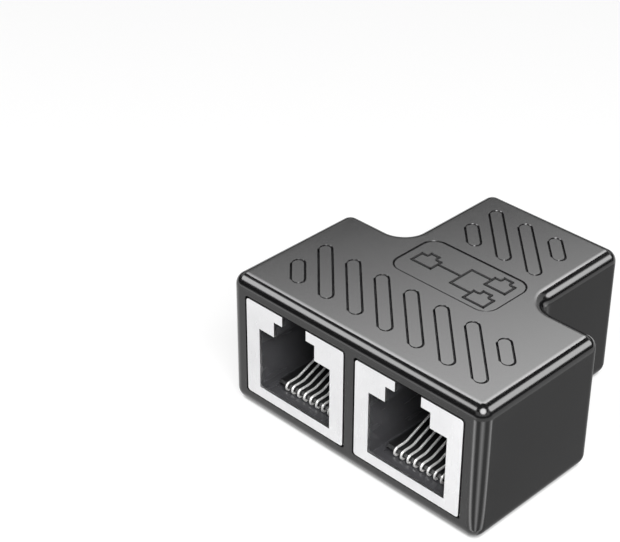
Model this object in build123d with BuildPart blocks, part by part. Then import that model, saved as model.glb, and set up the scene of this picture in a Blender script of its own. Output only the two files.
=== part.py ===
from build123d import *
import os

# Three-way network socket splitter: a T-shaped moulded case with two sockets side by side on its
# front face and one on the end of its stem, all wired to one circuit board.
# Millimetres, +Z up, origin at the middle of the footprint on the underside.

# Case: its margins round the sockets set its width, depth and height
SIDE_MARGIN = 2.73
STEM_MARGIN = 2.3
BAR_MARGIN = 4.8
BACK_GAP = 5.5
BOARD_STANDOFF = 0.35
WALL = 1.3
FLOOR = 1.0
ROOF = 1.25
CORNER_RADIUS = 1.6
NOTCH_RADIUS = 2.8

# Joint between the case halves
LIP_THICKNESS = 0.55
LIP_HEIGHT = 1.0
LIP_END = 3.5
LIP_CLEARANCE = 0.08
POST_SETBACK = 5.05
POST_PIN_DIAMETER = 1.2
POST_PIN_HEIGHT = 4.0
POST_CLEARANCE = 0.1
BOSS_DIAMETER = 2.7

# Sunk slots and label recess in the top face
SLOT_WIDTH = 1.72
SLOT_LENGTH = 12.0
SHORT_SLOT_LENGTH = 5.45
SLOT_PITCH = 4.67
SLOT_ANGLE = 135
SLOT_DEPTH = 0.3
SLOT_TAPER = 25
BAR_SLOTS = 6
BAR_SLOTS_SETBACK = 8.23
STEM_SLOTS = 2
STEM_SLOTS_SETBACK = 7.79
LABEL_LENGTH = 15.8
LABEL_WIDTH = 8.65
LABEL_RADIUS = 2.0
LABEL_SETBACK = 18.8

# Socket shield, a folded sheet-metal can
JACK_WIDTH = 16.0
JACK_HEIGHT = 13.5
JACK_DEPTH = 15.8
SHEET = 0.35
CAN_RADIUS = 0.4
WINDOW_GAP = 0.15
WINDOW_CHAMFER = 0.2
UNDER_LIP = 1.8
PEG_WIDTH = 1.4
PEG_SETBACK = 9.2
CATCH_LENGTH = 2.4
CATCH_HEIGHT = 1.6
CATCH_SETBACK = 6.2
CATCH_LEVEL = 7.0

# Stepped mouth for the plug, heights from the lower edge of the shield
PLUG_WIDTH = 11.7
PLUG_SILL = 1.45
LATCH_WIDTH = 6.7
LATCH_RISE = 2.12
TAB_WIDTH = 3.9
TAB_HEIGHT = 1.38
TAB_DEPTH = 5.0
BACK_THICKNESS = 3.2

# Socket body and contact carrier
FIT = 0.05
SEAT_LEVEL = 0.65
SOCKET_FLOOR = 1.05
CARRIER_MARGIN = 0.92
CARRIER_FIT = 0.1
CARRIER_TAIL = 1.8
COMB_DEPTH = 2.2
COMB_BACK = 0.8
COMB_RISE = 0.5

# Contacts
CONTACTS = 8
CONTACT_PITCH = 1.02
WIRE_WIDTH = 0.42
WIRE_THICKNESS = 0.38
BEND_SETBACK = 2.0
BEND_STEP = 0.3
TONGUE_THICKNESS = 0.7
FLAT_LENGTH = 2.0
RISE_ANGLE = 22.5
END_GAP = 0.4
PIN_INSET = 1.3
PIN_ROW_STEP = 2.2

# Circuit board
BOARD_THICKNESS = 1.0
BOARD_CLEARANCE = 0.3
PIN_CLEARANCE = 0.12
PIN_HOLE_SIDES = 6
PIN_STICK_OUT = 0.2
PEG_CLEARANCE = 0.15

# Ribs inside the case
RIB = 1.0
RIB_CLEARANCE = 0.2
PARTITION_WIDTH = 1.44
PARTITION_LENGTH = 8.5
BOARD_REST_LENGTH = 4.6
BOARD_REST_SETBACK = 4.6

JACK_SPACING = JACK_WIDTH + PARTITION_WIDTH + 2 * RIB_CLEARANCE
WIDTH = JACK_SPACING + JACK_WIDTH + 2 * SIDE_MARGIN
STEM_WIDTH = JACK_WIDTH + 2 * STEM_MARGIN
BAR_DEPTH = JACK_DEPTH + BAR_MARGIN
DEPTH = 2 * JACK_DEPTH + BACK_GAP
HEIGHT = JACK_HEIGHT + 2 * (FLOOR + BOARD_STANDOFF + BOARD_THICKNESS)
FRONT_Y = -DEPTH / 2
REAR_Y = DEPTH / 2
SHOULDER_Y = FRONT_Y + BAR_DEPTH
SPLIT_Z = HEIGHT / 2
CEILING_Z = HEIGHT - ROOF
JACK_Z = (HEIGHT - JACK_HEIGHT) / 2
BOARD_BOTTOM_Z = JACK_Z - BOARD_THICKNESS
JACK_TOP_Z = JACK_Z + JACK_HEIGHT
FRONT_JACK_BACK = FRONT_Y + JACK_DEPTH
REAR_JACK_BACK = REAR_Y - JACK_DEPTH
POST_Y = FRONT_JACK_BACK + RIB_CLEARANCE + RIB + BOSS_DIAMETER / 4
POST_OFFSET = WIDTH / 2 - POST_SETBACK
LATCH_TOP = JACK_HEIGHT - TAB_HEIGHT
PLUG_TOP = LATCH_TOP - LATCH_RISE
CAVITY_DEPTH = JACK_DEPTH - BACK_THICKNESS
PIN_ROW = CAVITY_DEPTH - PIN_INSET
CARRIER_WIDTH = CONTACTS * CONTACT_PITCH + 2 * CARRIER_MARGIN
WIRE_RUN = SEAT_LEVEL + WIRE_THICKNESS / 2
TONGUE_BOTTOM = SEAT_LEVEL + WIRE_THICKNESS
TONGUE_TOP = TONGUE_BOTTOM + TONGUE_THICKNESS
WIRE_TOP_RUN = TONGUE_TOP + WIRE_THICKNESS / 2
BEND_LINE = BEND_SETBACK + WIRE_THICKNESS / 2
COMB_SLOT = WIRE_WIDTH + 2 * CARRIER_FIT
COMB_FRONT = CAVITY_DEPTH - CARRIER_FIT - COMB_DEPTH
CARRIER_BACK = CAVITY_DEPTH + CARRIER_TAIL
CONTACT_REACH = COMB_FRONT + COMB_DEPTH - COMB_BACK - END_GAP
PIN_HOLE = (WIRE_WIDTH ** 2 + WIRE_THICKNESS ** 2) ** 0.5 + 2 * PIN_CLEARANCE
BODY_FRONT = SHEET + FIT
BODY_WIDTH = JACK_WIDTH - 2 * (SHEET + FIT)
BODY_HEIGHT = JACK_HEIGHT - SHEET - FIT
BODY_DEPTH = JACK_DEPTH - 2 * (SHEET + FIT)

# Each socket has its own frame: x across, y into the case, z up from the lower edge of its shield.
PORTS = {
    "left": Plane(origin=(-JACK_SPACING / 2, FRONT_Y, JACK_Z), x_dir=(1, 0, 0), z_dir=(0, 0, 1)),
    "right": Plane(origin=(JACK_SPACING / 2, FRONT_Y, JACK_Z), x_dir=(1, 0, 0), z_dir=(0, 0, 1)),
    "rear": Plane(origin=(0, REAR_Y, JACK_Z), x_dir=(-1, 0, 0), z_dir=(0, 0, 1)),
}

LOW = (Align.CENTER, Align.MIN)
CORNER = (Align.MIN, Align.MIN)
LEFT_MIDDLE = (Align.MIN, Align.CENTER)
LOW_BOX = (Align.CENTER, Align.MIN, Align.MIN)


def face_plane(port, depth=0.0):
    """Plane of a socket's face, x across and y up, at a depth behind the shield's front."""
    origin = port.origin + port.y_dir * depth
    return Plane(origin=origin, x_dir=port.x_dir, z_dir=port.y_dir * -1)


def section_plane(port, across=0.0):
    """Upright plane through a socket, x into the case and y up, at a distance to the side."""
    origin = port.origin + port.x_dir * across
    return Plane(origin=origin, x_dir=port.y_dir, z_dir=port.x_dir)


def case_plan(inset, level):
    """T-shaped plan at a height, drawn in from the outer walls; inside them its corners are sharp."""
    bar = WIDTH / 2 - inset
    stem = STEM_WIDTH / 2 - inset
    front = FRONT_Y + inset
    shoulder = SHOULDER_Y - inset
    rear = REAR_Y - inset
    corner = 0 if inset else CORNER_RADIUS
    notch = NOTCH_RADIUS + inset
    points = [(-bar, front), (bar, front), (bar, shoulder), (stem, shoulder)]
    points += [(stem, rear), (-stem, rear), (-stem, shoulder), (-bar, shoulder)]
    radii = [corner, corner, corner, notch, corner, corner, notch, corner]
    with BuildSketch(Plane.XY.offset(level)) as plan:
        with BuildLine():
            FilletPolyline(*points, radius=radii, close=True)
        make_face()
    return plan.sketch


def window_plan(port):
    """Opening in an end wall that a socket's shield stands in, with a gap all round."""
    with BuildSketch(face_plane(port)) as window:
        with Locations((0, JACK_HEIGHT / 2)):
            Rectangle(JACK_WIDTH + 2 * WINDOW_GAP, JACK_HEIGHT + 2 * WINDOW_GAP)
        chamfer(window.vertices(), length=WINDOW_CHAMFER)
    return window.sketch


def plug_mouth(plane, sill, top, tab=True):
    """Stepped mouth of a socket: the plug's width, the latch's width and the tab's width."""
    with BuildSketch(plane) as mouth:
        with Locations((0, sill)):
            Rectangle(PLUG_WIDTH, PLUG_TOP - sill, align=LOW)
        with Locations((0, PLUG_TOP)):
            Rectangle(LATCH_WIDTH, LATCH_TOP - PLUG_TOP, align=LOW)
        if tab:
            with Locations((0, LATCH_TOP)):
                Rectangle(TAB_WIDTH, top - LATCH_TOP, align=LOW)
    return mouth.sketch


def slot_row(long_slots, row_y):
    """Row of slanted slots on the top face, closed at each end by a short one."""
    reach = Vector((long_slots + 1) / 2 * SLOT_PITCH, 0)
    shift = Vector(1, 0).rotate(Axis.Z, SLOT_ANGLE) * (SLOT_LENGTH - SHORT_SLOT_LENGTH) / 2
    with BuildSketch(Plane.XY.offset(HEIGHT)) as row:
        with Locations((0, row_y)):
            with GridLocations(SLOT_PITCH, SLOT_PITCH, long_slots, 1):
                SlotOverall(SLOT_LENGTH, SLOT_WIDTH, rotation=SLOT_ANGLE)
            with Locations(-reach - shift, reach + shift):
                SlotOverall(SHORT_SLOT_LENGTH, SLOT_WIDTH, rotation=SLOT_ANGLE)
    return row.sketch


def label_plan():
    """Rounded recess for a label, in the middle of the top face."""
    with BuildSketch(Plane.XY.offset(HEIGHT)) as label:
        with Locations((0, FRONT_Y + LABEL_SETBACK)):
            RectangleRounded(LABEL_LENGTH, LABEL_WIDTH, LABEL_RADIUS)
    return label.sketch


def lip_rails(clearance, level):
    """Plan of the straight lip rails in the walls, grown by a clearance for their grooves."""
    width = LIP_THICKNESS + clearance
    bar_rail = BAR_DEPTH - 2 * LIP_END + 2 * clearance
    stem_start = SHOULDER_Y + NOTCH_RADIUS
    stem_rail = REAR_Y - LIP_END - stem_start + 2 * clearance
    shoulder_start = STEM_WIDTH / 2 + NOTCH_RADIUS
    shoulder_rail = WIDTH / 2 - LIP_END - shoulder_start + 2 * clearance
    stem_middle = (stem_start + REAR_Y - LIP_END) / 2
    shoulder_middle = (shoulder_start + WIDTH / 2 - LIP_END) / 2
    inset = WALL - width / 2
    with BuildSketch(Plane.XY.offset(level)) as rails:
        for side in (-1, 1):
            with Locations((side * (WIDTH / 2 - inset), FRONT_Y + BAR_DEPTH / 2)):
                Rectangle(width, bar_rail)
            with Locations((side * (STEM_WIDTH / 2 - inset), stem_middle)):
                Rectangle(width, stem_rail)
            with Locations((side * shoulder_middle, SHOULDER_Y - inset)):
                Rectangle(shoulder_rail, width)
    return rails.sketch


def contact_offsets():
    """Places of the contacts across a socket, from its middle."""
    return [(number - (CONTACTS - 1) / 2) * CONTACT_PITCH for number in range(CONTACTS)]


def pin_row(number):
    """Depth of a contact's solder pin: odd and even contacts stand in two rows."""
    return PIN_ROW + PIN_ROW_STEP * (number % 2)


def make_lower_shell():
    """Lower case half: floor, half-height walls, lip, board rests, posts and a partition."""
    with BuildPart() as lower_shell:
        extrude(case_plan(0, 0), amount=SPLIT_Z)
        fillet(lower_shell.faces().sort_by(Axis.Z)[0].edges(), radius=CORNER_RADIUS)
        extrude(case_plan(WALL, FLOOR), amount=HEIGHT, mode=Mode.SUBTRACT)
        extrude(lip_rails(0, SPLIT_Z), amount=LIP_HEIGHT)
        with Locations((0, FRONT_Y + WALL, FLOOR)):
            Box(PARTITION_WIDTH, PARTITION_LENGTH, SPLIT_Z - FLOOR, align=LOW_BOX)
        with BuildSketch(Plane.XY.offset(FLOOR)):
            for port in PORTS.values():
                front_rest = port.origin + port.y_dir * BOARD_REST_SETBACK
                back_rest = port.origin + port.y_dir * JACK_DEPTH
                with Locations((front_rest.X, front_rest.Y)):
                    Rectangle(RIB, BOARD_REST_LENGTH)
                with Locations((back_rest.X, back_rest.Y)):
                    Rectangle(BOARD_REST_LENGTH, RIB)
            with Locations((-POST_OFFSET, POST_Y), (POST_OFFSET, POST_Y)):
                Rectangle(BOSS_DIAMETER, BOSS_DIAMETER)
        extrude(amount=BOARD_BOTTOM_Z - FLOOR)
        with BuildSketch(Plane.XY.offset(BOARD_BOTTOM_Z)):
            with Locations((-POST_OFFSET, POST_Y), (POST_OFFSET, POST_Y)):
                Circle(POST_PIN_DIAMETER / 2)
        extrude(amount=POST_PIN_HEIGHT)
        for port in PORTS.values():
            extrude(window_plan(port), amount=-WALL, mode=Mode.SUBTRACT)
    return lower_shell.part


def make_upper_shell():
    """Upper case half: top face with its slots and label recess, walls, ribs and bosses."""
    side_rib_setbacks = (JACK_DEPTH / 4, JACK_DEPTH / 2, JACK_DEPTH * 3 / 4)
    bar_rib = WIDTH / 2 - WALL - JACK_SPACING / 2 - JACK_WIDTH / 2 - RIB_CLEARANCE
    stem_rib = STEM_WIDTH / 2 - WALL - JACK_WIDTH / 2 - RIB_CLEARANCE
    boss_length = CEILING_Z - JACK_Z - POST_CLEARANCE
    bore_depth = BOARD_BOTTOM_Z + POST_PIN_HEIGHT - JACK_Z
    with BuildPart() as upper_shell:
        extrude(case_plan(0, SPLIT_Z), amount=HEIGHT - SPLIT_Z)
        fillet(upper_shell.faces().sort_by(Axis.Z)[-1].edges(), radius=CORNER_RADIUS)
        extrude(case_plan(WALL, SPLIT_Z), amount=CEILING_Z - SPLIT_Z, mode=Mode.SUBTRACT)
        grooves = lip_rails(LIP_CLEARANCE, SPLIT_Z)
        extrude(grooves, amount=LIP_HEIGHT + LIP_CLEARANCE, mode=Mode.SUBTRACT)
        for row in (slot_row(BAR_SLOTS, FRONT_Y + BAR_SLOTS_SETBACK),
                    slot_row(STEM_SLOTS, REAR_Y - STEM_SLOTS_SETBACK),
                    label_plan()):
            extrude(row, amount=-SLOT_DEPTH, taper=SLOT_TAPER, mode=Mode.SUBTRACT)
        with BuildSketch(Plane.XY.offset(CEILING_Z)):
            with Locations((0, FRONT_Y + WALL)):
                Rectangle(PARTITION_WIDTH, JACK_DEPTH - WALL, align=LOW)
            for setback in side_rib_setbacks:
                with Locations((-WIDTH / 2 + WALL, FRONT_Y + setback)):
                    Rectangle(bar_rib, RIB, align=LEFT_MIDDLE)
                with Locations((WIDTH / 2 - WALL - bar_rib, FRONT_Y + setback)):
                    Rectangle(bar_rib, RIB, align=LEFT_MIDDLE)
                with Locations((-STEM_WIDTH / 2 + WALL, REAR_Y - setback)):
                    Rectangle(stem_rib, RIB, align=LEFT_MIDDLE)
                with Locations((STEM_WIDTH / 2 - WALL - stem_rib, REAR_Y - setback)):
                    Rectangle(stem_rib, RIB, align=LEFT_MIDDLE)
            with Locations((0, FRONT_JACK_BACK + RIB_CLEARANCE)):
                Rectangle(2 * POST_OFFSET, RIB, align=LOW)
            with Locations((0, REAR_JACK_BACK - RIB_CLEARANCE - RIB)):
                Rectangle(JACK_WIDTH, RIB, align=LOW)
        extrude(amount=-(CEILING_Z - SPLIT_Z - LIP_HEIGHT - LIP_CLEARANCE))
        with BuildSketch(Plane.XY.offset(CEILING_Z)):
            with Locations((-POST_OFFSET, POST_Y), (POST_OFFSET, POST_Y)):
                Circle(BOSS_DIAMETER / 2)
        extrude(amount=-boss_length)
        with BuildSketch(Plane.XY.offset(JACK_Z + POST_CLEARANCE)):
            with Locations((-POST_OFFSET, POST_Y), (POST_OFFSET, POST_Y)):
                Circle(POST_PIN_DIAMETER / 2 + POST_CLEARANCE)
        extrude(amount=bore_depth, mode=Mode.SUBTRACT)
        with BuildSketch(Plane.XY.offset(CEILING_Z)):
            for port in PORTS.values():
                middle = port.origin + port.y_dir * (JACK_DEPTH / 2)
                with Locations((middle.X, middle.Y)):
                    Rectangle(LATCH_WIDTH, RIB)
        extrude(amount=-(CEILING_Z - JACK_TOP_Z - RIB_CLEARANCE))
        for port in PORTS.values():
            extrude(window_plan(port), amount=-WALL, mode=Mode.SUBTRACT)
    return upper_shell.part


def make_circuit_board():
    """T-shaped board with holes for the pins and posts and slots for the shield pegs."""
    with BuildPart() as board:
        extrude(case_plan(WALL + BOARD_CLEARANCE, BOARD_BOTTOM_Z), amount=BOARD_THICKNESS)
        with BuildSketch(Plane.XY.offset(BOARD_BOTTOM_Z)):
            with Locations((0, FRONT_Y + WALL)):
                Rectangle(PARTITION_WIDTH + 2 * RIB_CLEARANCE, PARTITION_LENGTH + RIB_CLEARANCE, align=LOW)
            with Locations((-POST_OFFSET, POST_Y), (POST_OFFSET, POST_Y)):
                Circle(POST_PIN_DIAMETER / 2 + POST_CLEARANCE)
            for port in PORTS.values():
                for number, across in enumerate(contact_offsets()):
                    spot = port.origin + port.x_dir * across + port.y_dir * pin_row(number)
                    with Locations((spot.X, spot.Y)):
                        RegularPolygon(PIN_HOLE / 2, PIN_HOLE_SIDES)
                for side in (-1, 1):
                    peg_across = side * (JACK_WIDTH - SHEET) / 2
                    spot = port.origin + port.x_dir * peg_across + port.y_dir * PEG_SETBACK
                    with Locations((spot.X, spot.Y)):
                        Rectangle(SHEET + 2 * PEG_CLEARANCE, PEG_WIDTH + 2 * PEG_CLEARANCE)
        extrude(amount=BOARD_THICKNESS, mode=Mode.SUBTRACT)
    return board.part


def make_shield(port):
    """Sheet-metal can: stepped front plate, roof, sides and back, with pegs for the board."""
    with BuildPart() as shield:
        with BuildSketch(face_plane(port)):
            with Locations((0, JACK_HEIGHT / 2)):
                RectangleRounded(JACK_WIDTH, JACK_HEIGHT, CAN_RADIUS)
        extrude(amount=-SHEET)
        with BuildSketch(face_plane(port, SHEET)) as walls:
            Rectangle(JACK_WIDTH, JACK_HEIGHT, align=LOW)
            fillet(walls.vertices().group_by(Axis.Y)[-1], radius=CAN_RADIUS)
        extrude(amount=-(JACK_DEPTH - SHEET))
        with BuildSketch(face_plane(port, SHEET)):
            Rectangle(JACK_WIDTH - 2 * SHEET, JACK_HEIGHT - SHEET, align=LOW)
        extrude(amount=-(JACK_DEPTH - 2 * SHEET), mode=Mode.SUBTRACT)
        with BuildSketch(face_plane(port, SHEET)):
            Rectangle(JACK_WIDTH - 2 * SHEET, SHEET, align=LOW)
        extrude(amount=-UNDER_LIP)
        extrude(plug_mouth(face_plane(port), PLUG_SILL, JACK_HEIGHT), amount=-SHEET, mode=Mode.SUBTRACT)
        with BuildSketch(face_plane(port)):
            with Locations((0, JACK_HEIGHT)):
                Rectangle(TAB_WIDTH, 2 * SHEET)
        extrude(amount=-UNDER_LIP, mode=Mode.SUBTRACT)
        with BuildSketch(section_plane(port, -JACK_WIDTH / 2)):
            with Locations((CATCH_SETBACK, CATCH_LEVEL)):
                Rectangle(CATCH_LENGTH, CATCH_HEIGHT)
        extrude(amount=JACK_WIDTH, mode=Mode.SUBTRACT)
        for side_start in (-JACK_WIDTH / 2, JACK_WIDTH / 2 - SHEET):
            with BuildSketch(section_plane(port, side_start)):
                with Locations((PEG_SETBACK, -BOARD_THICKNESS - PIN_STICK_OUT)):
                    Rectangle(PEG_WIDTH, BOARD_THICKNESS + PIN_STICK_OUT, align=LOW)
            extrude(amount=SHEET)
    return shield.part


def make_body(port):
    """Moulded socket body: stepped plug cavity, seat for the contact carrier and side catches."""
    catch_width = JACK_WIDTH - SHEET
    with BuildPart() as body:
        with BuildSketch(face_plane(port, BODY_FRONT)):
            Rectangle(BODY_WIDTH, BODY_HEIGHT, align=LOW)
        extrude(amount=-BODY_DEPTH)
        with BuildSketch(section_plane(port, -catch_width / 2)):
            with Locations((CATCH_SETBACK, CATCH_LEVEL)):
                Rectangle(CATCH_LENGTH - 2 * FIT, CATCH_HEIGHT - 2 * FIT)
        extrude(amount=catch_width)
        with BuildSketch(face_plane(port)):
            Rectangle(JACK_WIDTH, SHEET + FIT, align=LOW)
        extrude(amount=-(SHEET + UNDER_LIP + FIT), mode=Mode.SUBTRACT)
        cavity = plug_mouth(face_plane(port), SOCKET_FLOOR, BODY_HEIGHT, tab=False)
        extrude(cavity, amount=-CAVITY_DEPTH, mode=Mode.SUBTRACT)
        with BuildSketch(face_plane(port)):
            with Locations((0, LATCH_TOP)):
                Rectangle(TAB_WIDTH, BODY_HEIGHT - LATCH_TOP, align=LOW)
        extrude(amount=-TAB_DEPTH, mode=Mode.SUBTRACT)
        with BuildSketch(section_plane(port)):
            with Locations((BEND_SETBACK - CARRIER_FIT, SEAT_LEVEL)):
                Rectangle(
                    CARRIER_BACK - BEND_SETBACK + 2 * CARRIER_FIT,
                    TONGUE_TOP + CARRIER_FIT - SEAT_LEVEL,
                    align=CORNER,
                )
        extrude(amount=CARRIER_WIDTH / 2 + CARRIER_FIT, both=True, mode=Mode.SUBTRACT)
        with BuildSketch(section_plane(port)):
            with Locations((PIN_ROW + PIN_ROW_STEP / 2, 0)):
                Rectangle(PIN_ROW_STEP + 2 * PIN_HOLE, SEAT_LEVEL, align=LOW)
        extrude(amount=(CONTACTS * CONTACT_PITCH) / 2, both=True, mode=Mode.SUBTRACT)
        with BuildSketch(face_plane(port, CAVITY_DEPTH + RIB)):
            with Locations((0, TONGUE_TOP + RIB)):
                Rectangle(PLUG_WIDTH, PLUG_TOP - TONGUE_TOP - RIB, align=LOW)
        extrude(amount=-BODY_DEPTH, mode=Mode.SUBTRACT)
    return body.part


def make_carrier(port):
    """Contact carrier: a tongue that the wires wrap and a comb that holds their free ends."""
    comb_top = wire_height(CONTACT_REACH) + COMB_RISE
    slot_floor = wire_height(COMB_FRONT) - WIRE_THICKNESS
    tongue_front = BEND_LINE + WIRE_THICKNESS / 2 + CARRIER_FIT / 4
    with BuildPart() as carrier:
        with BuildSketch(section_plane(port)) as tongue:
            with Locations((tongue_front, TONGUE_BOTTOM)):
                Rectangle(CARRIER_BACK - tongue_front, TONGUE_THICKNESS, align=CORNER)
            chamfer(tongue.vertices().group_by(Axis.X)[0], length=BEND_STEP)
            with Locations((COMB_FRONT, TONGUE_TOP)):
                Rectangle(COMB_DEPTH, comb_top - TONGUE_TOP, align=CORNER)
        extrude(amount=CARRIER_WIDTH / 2, both=True)
        for across in contact_offsets():
            with BuildSketch(section_plane(port, across)):
                with Locations((COMB_FRONT, slot_floor)):
                    Rectangle(COMB_DEPTH - COMB_BACK, comb_top - slot_floor, align=CORNER)
            extrude(amount=COMB_SLOT / 2, both=True, mode=Mode.SUBTRACT)
    return carrier.part


def wire_height(depth):
    """Height of a contact's rising arm, along its middle, at a depth into the socket."""
    start = BEND_LINE + FLAT_LENGTH
    rise = Vector(1, 0).rotate(Axis.Z, RISE_ANGLE)
    return WIRE_TOP_RUN + (depth - start) * rise.Y / rise.X


def make_contact(port, number, across):
    """Sprung contact: solder pin, run under the tongue, stepped bend round its nose, rising arm."""
    pin_y = pin_row(number)
    points = [(pin_y, -BOARD_THICKNESS - PIN_STICK_OUT), (pin_y, WIRE_RUN)]
    points += [(BEND_LINE + BEND_STEP, WIRE_RUN), (BEND_LINE, WIRE_RUN + BEND_STEP)]
    points += [(BEND_LINE, WIRE_TOP_RUN - BEND_STEP), (BEND_LINE + BEND_STEP, WIRE_TOP_RUN)]
    points += [(BEND_LINE + FLAT_LENGTH, WIRE_TOP_RUN), (CONTACT_REACH, wire_height(CONTACT_REACH))]
    with BuildPart() as contact:
        with BuildSketch(section_plane(port, across)):
            with BuildLine():
                Polyline(*points)
            trace(line_width=WIRE_THICKNESS)
        extrude(amount=WIRE_WIDTH / 2, both=True)
    return contact.part


def save(part, name):
    """Label a finished piece and write it as its own STEP file."""
    part.label = name
    export_step(part, f"parts/{name}.step")


os.makedirs("parts", exist_ok=True)
save(make_upper_shell(), "upper_shell")
save(make_lower_shell(), "lower_shell")
save(make_circuit_board(), "circuit_board")
for port_name, port_plane in PORTS.items():
    save(make_shield(port_plane), f"jack_shield_{port_name}")
    save(make_body(port_plane), f"jack_body_{port_name}")
    save(make_carrier(port_plane), f"contact_carrier_{port_name}")
    for index, offset_across in enumerate(contact_offsets()):
        save(make_contact(port_plane, index, offset_across), f"contact_{port_name}_{index + 1}")
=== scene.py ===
"""Looks of a three-way network socket splitter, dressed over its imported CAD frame.

A T-shaped moulded case holds two sockets side by side and one on the end of its stem. Each socket
has a nickel-plated shield, a moulded body, a contact carrier and eight sprung contacts.
"""

import logging
import math
from dataclasses import dataclass, field
from enum import Enum

import bmesh
import bpy
from mathutils import Matrix, Vector

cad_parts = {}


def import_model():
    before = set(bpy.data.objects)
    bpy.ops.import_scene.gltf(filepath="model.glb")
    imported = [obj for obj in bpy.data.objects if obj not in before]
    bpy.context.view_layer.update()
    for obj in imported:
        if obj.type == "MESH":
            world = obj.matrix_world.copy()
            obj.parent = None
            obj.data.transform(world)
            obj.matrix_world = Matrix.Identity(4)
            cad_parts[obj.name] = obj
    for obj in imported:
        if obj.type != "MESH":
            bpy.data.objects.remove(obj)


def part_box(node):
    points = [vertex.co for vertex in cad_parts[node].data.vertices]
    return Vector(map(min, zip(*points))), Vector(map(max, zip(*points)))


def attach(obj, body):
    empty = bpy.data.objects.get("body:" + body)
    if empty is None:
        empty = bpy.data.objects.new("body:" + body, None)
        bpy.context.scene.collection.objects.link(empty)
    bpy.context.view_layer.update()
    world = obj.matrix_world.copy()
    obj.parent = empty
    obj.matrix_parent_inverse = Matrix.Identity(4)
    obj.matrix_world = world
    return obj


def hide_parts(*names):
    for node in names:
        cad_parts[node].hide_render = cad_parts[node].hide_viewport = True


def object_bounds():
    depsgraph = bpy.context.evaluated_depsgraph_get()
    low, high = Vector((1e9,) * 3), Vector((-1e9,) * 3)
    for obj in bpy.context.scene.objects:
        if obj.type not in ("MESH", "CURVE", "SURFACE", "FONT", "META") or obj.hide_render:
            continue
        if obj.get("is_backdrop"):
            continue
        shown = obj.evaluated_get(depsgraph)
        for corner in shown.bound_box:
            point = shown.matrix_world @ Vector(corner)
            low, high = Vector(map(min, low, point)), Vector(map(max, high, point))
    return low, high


MM = 0.001
BODY = "root"
MARGIN = Vector((MM, MM, MM))
OBJECT_MIDDLE = Vector((0, 0, 9 * MM))
LOG = logging.getLogger("splitter")


class Slot(Enum):
    """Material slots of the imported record."""

    CASE = "case_plastic"
    SOCKET = "socket_plastic"
    SHIELD = "shield_steel"
    CONTACT = "contact_metal"
    BOARD = "board_laminate"


class Port(Enum):
    """The three sockets, by where they sit, with the way that each faces."""

    LEFT = "left"
    RIGHT = "right"
    REAR = "rear"

    @property
    def faces_front(self) -> bool:
        """Whether the socket is one of the two on the long face."""
        return self is not Port.REAR


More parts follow.
